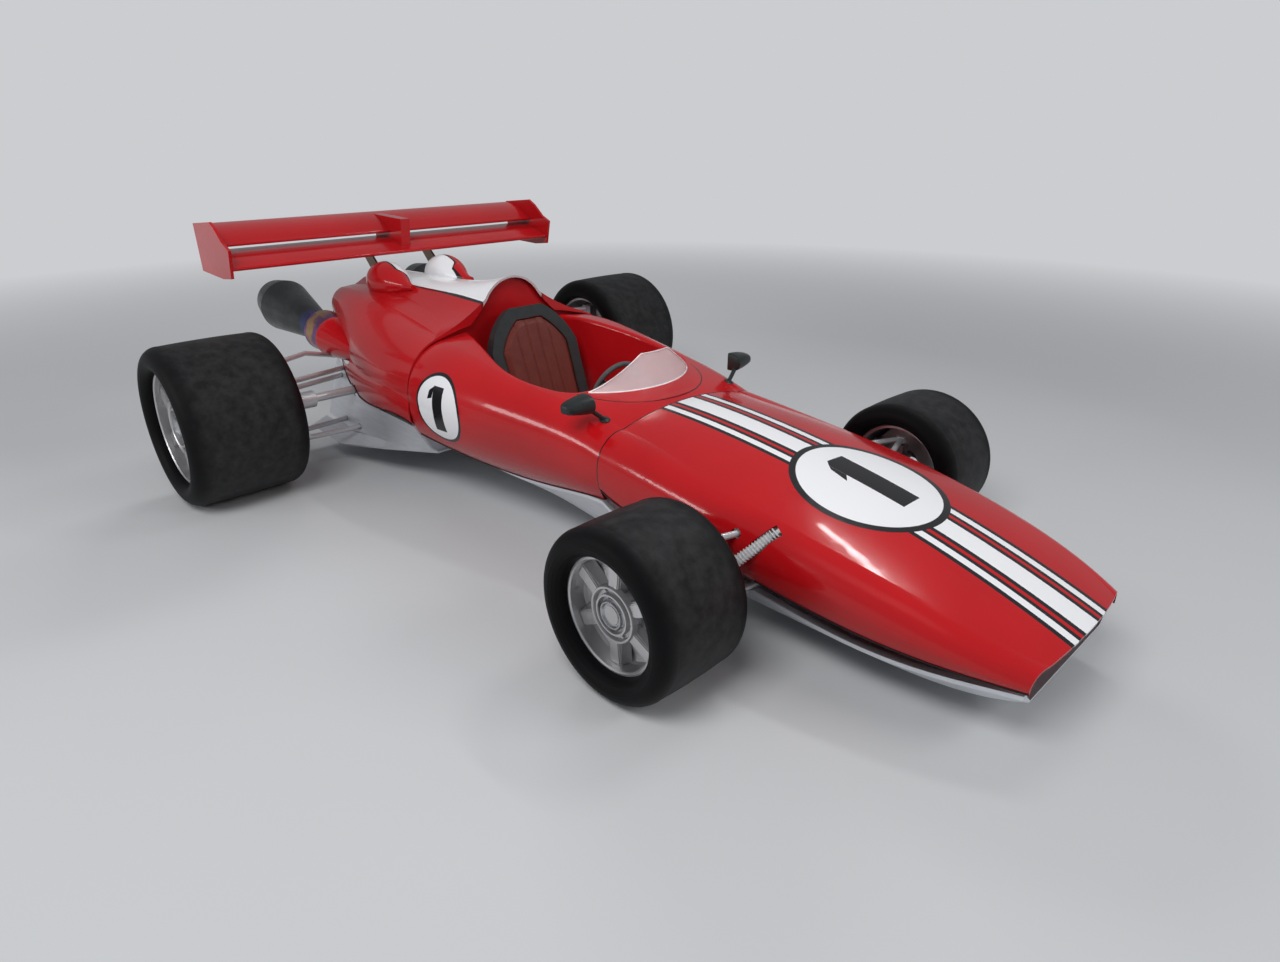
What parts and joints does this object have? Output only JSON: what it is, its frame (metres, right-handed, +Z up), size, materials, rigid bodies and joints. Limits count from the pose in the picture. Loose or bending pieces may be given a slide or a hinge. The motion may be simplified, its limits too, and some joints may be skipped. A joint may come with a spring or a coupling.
{
  "type": "open wheel racing car",
  "caption": "Single-seat open wheel racing car with rear wing, wide slick tyres, open cockpit and mid-mounted engine; wheels spin and the front pair steers.",
  "frame": {"origin": "on the ground under the middle of the car's bounding box", "axes": "+X forward, +Y to the car's left, +Z up"},
  "size_m": [4.362, 2.8232, 1.147],
  "materials": {
    "red_paint": "gloss",
    "tub": "satin",
    "black_trim": "matt",
    "radiator": "matt",
    "screen": "clear",
    "seat_shell": "matt",
    "seat_pads": "satin",
    "engine": "matt",
    "gearbox": "satin",
    "exhaust": "polished",
    "bronze": "satin",
    "steel": "satin",
    "steering": "satin",
    "tyre": "matt",
    "rim": "satin"
  },
  "bodies": {
    "chassis": {"nose_cone": "red_paint", "cockpit_body": "red_paint", "engine_cover": "red_paint", "front_belly_pan": "tub", "middle_belly_pan": "tub", "rear_side_panels": "tub", "firewall": "black_trim", "footbox": "tub", "radiator": "radiator", "dashboard": "black_trim", "windscreen": "screen", "seat_shell": "seat_shell", "seat_pads": "seat_pads", "engine_block": "engine", "gearbox": "gearbox", "rear_frame": "gearbox", "exhaust_right": "exhaust", "exhaust_left": "exhaust", "wing_main_plane": "red_paint", "wing_flap": "red_paint", "wing_endplate_right": "red_paint", "wing_endplate_left": "red_paint", "wing_centre_plate": "red_paint", "wing_struts": "bronze", "front_upper_arms": "steel", "front_lower_arms": "steel", "front_dampers": "steel", "rear_links": "steel", "rear_uprights": "gearbox", "driveshafts": "steel", "steering_rack_housing": "gearbox", "mirror_right": "black_trim", "mirror_left": "black_trim"},
    "steering_wheel": {"steering_wheel": "steering"},
    "steering_rack": {"steering_rack": "steel"},
    "knuckle_right": {"knuckle_right": "gearbox"},
    "knuckle_left": {"knuckle_left": "gearbox"},
    "wheel_fl": {"tyre_fl": "tyre", "rim_fl": "rim"},
    "wheel_fr": {"tyre_fr": "tyre", "rim_fr": "rim"},
    "wheel_rl": {"tyre_rl": "tyre", "rim_rl": "rim"},
    "wheel_rr": {"tyre_rr": "tyre", "rim_rr": "rim"}
  },
  "joints": [
    {"name": "steering", "type": "hinge", "parent": "chassis", "child": "steering_wheel", "pos_m": [0.23, 0, 0.54], "axis": [-0.9397, 0, 0.342], "range_deg": [-180, 180]},
    {"name": "rack_slide", "type": "slide", "parent": "chassis", "child": "steering_rack", "axis": [0, 1, 0], "range_m": [-0.035, 0.035]},
    {"name": "steer_left", "type": "hinge", "parent": "chassis", "child": "knuckle_left", "pos_m": [1.2, 0.676, 0.275], "axis": [0, 0, 1], "range_deg": [-18.5, 18.5]},
    {"name": "steer_right", "type": "hinge", "parent": "chassis", "child": "knuckle_right", "pos_m": [1.2, -0.676, 0.275], "axis": [0, 0, 1], "range_deg": [-18.5, 18.5]},
    {"name": "spin_fl", "type": "hinge", "parent": "knuckle_left", "child": "wheel_fl", "pos_m": [1.2, 0.781, 0.275], "axis": [0, 1, 0], "continuous": true},
    {"name": "spin_fr", "type": "hinge", "parent": "knuckle_right", "child": "wheel_fr", "pos_m": [1.2, -0.781, 0.275], "axis": [0, 1, 0], "continuous": true},
    {"name": "spin_rl", "type": "hinge", "parent": "chassis", "child": "wheel_rl", "pos_m": [-1.1, 1.162, 0.356], "axis": [0, 1, 0], "continuous": true},
    {"name": "spin_rr", "type": "hinge", "parent": "chassis", "child": "wheel_rr", "pos_m": [-1.1, -1.162, 0.356], "axis": [0, 1, 0], "continuous": true}
  ],
  "couplings": [
    {"joint": "steer_left", "follows": "steering", "ratio": 0.1},
    {"joint": "steer_right", "follows": "steering", "ratio": 0.1},
    {"joint": "rack_slide", "follows": "steering", "m_per_rad": -0.0105}
  ]
}
